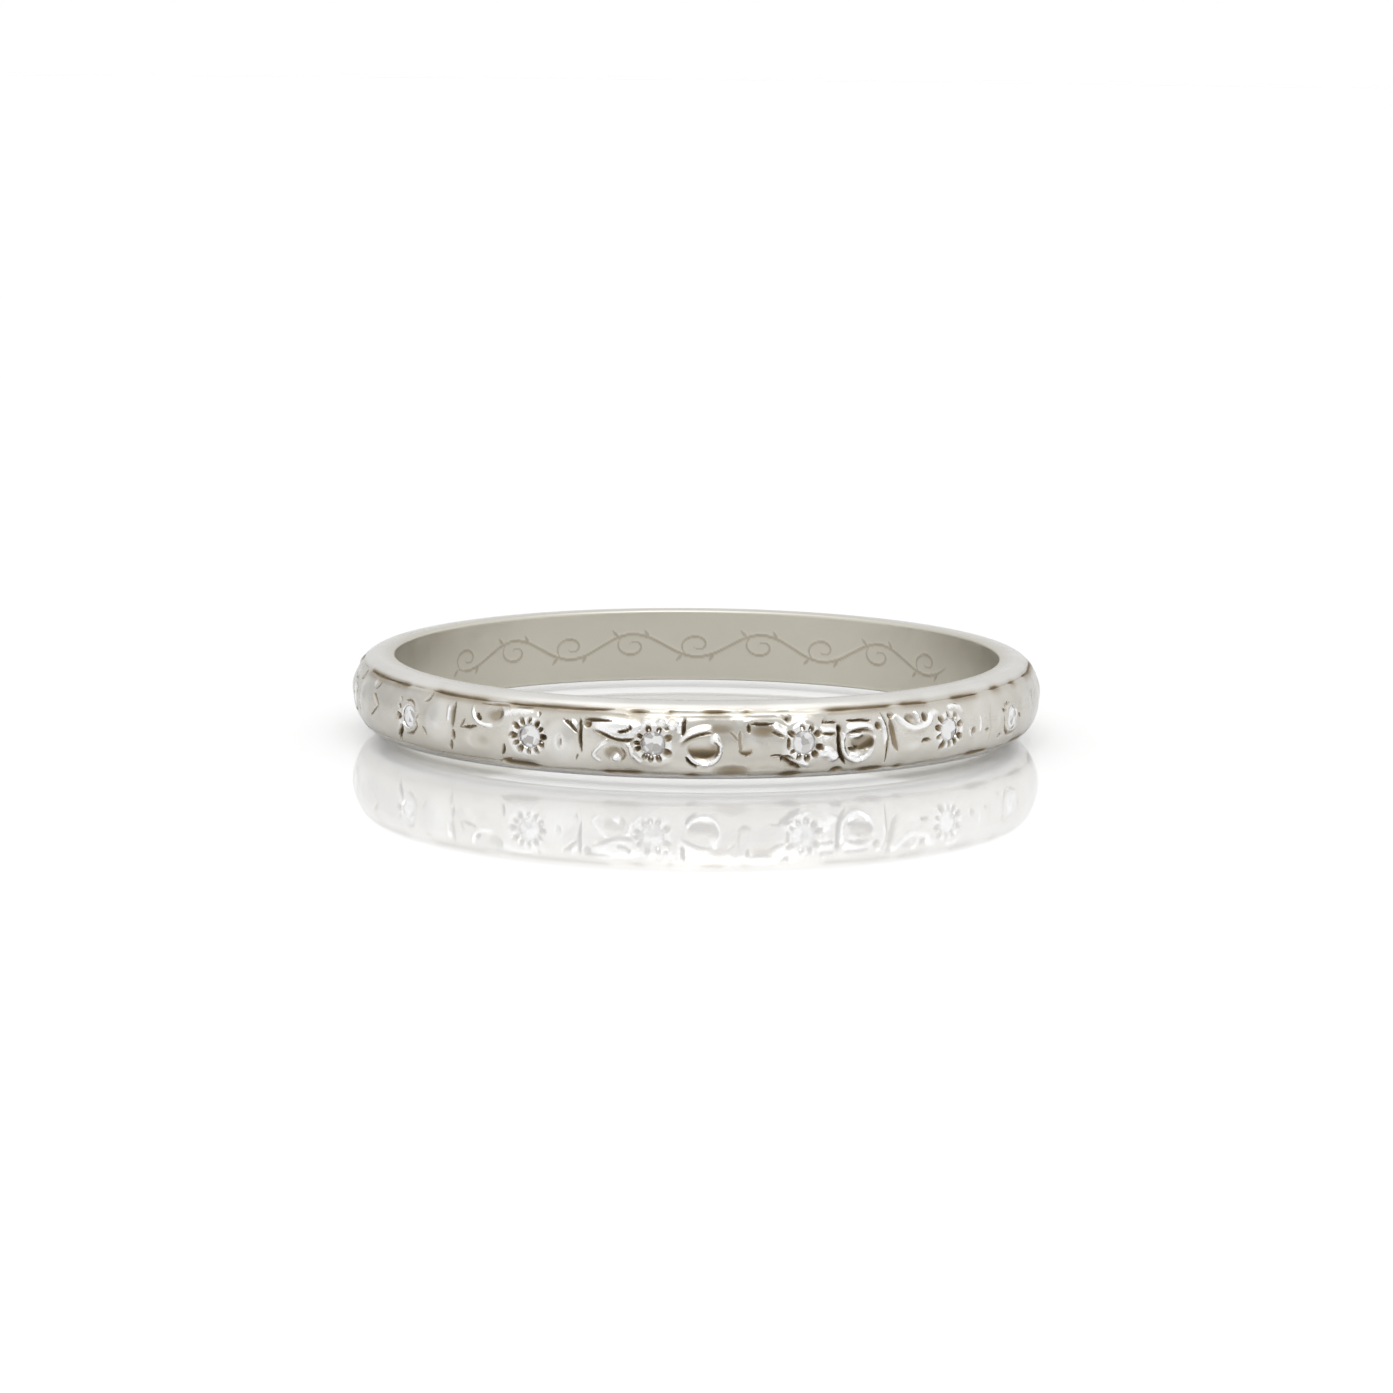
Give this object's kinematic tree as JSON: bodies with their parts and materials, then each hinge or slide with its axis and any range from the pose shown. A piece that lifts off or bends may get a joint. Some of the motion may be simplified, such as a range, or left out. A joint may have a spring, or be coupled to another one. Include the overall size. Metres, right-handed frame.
{
  "type": "wedding band",
  "caption": "Narrow half-round ring with an engraved outer face of petals and leaves, and small round stones sunk flush in it.",
  "frame": {"origin": "middle of the finger bore, halfway across the band's width", "axes": "+Z along the bore, square to the flat edges; -Y points at the front of the band, between the third and fourth dividing cuts"},
  "size_m": [0.0192, 0.0192, 0.002],
  "materials": {
    "white_gold": "polished",
    "diamond": "polished"
  },
  "bodies": {
    "root": {"engraved_band": "white_gold", "diamond_01": "diamond", "diamond_02": "diamond", "diamond_03": "diamond", "diamond_04": "diamond", "diamond_05": "diamond", "diamond_06": "diamond", "diamond_07": "diamond", "diamond_08": "diamond", "diamond_09": "diamond", "diamond_10": "diamond", "diamond_11": "diamond", "diamond_12": "diamond", "diamond_13": "diamond", "diamond_14": "diamond"}
  },
  "joints": []
}
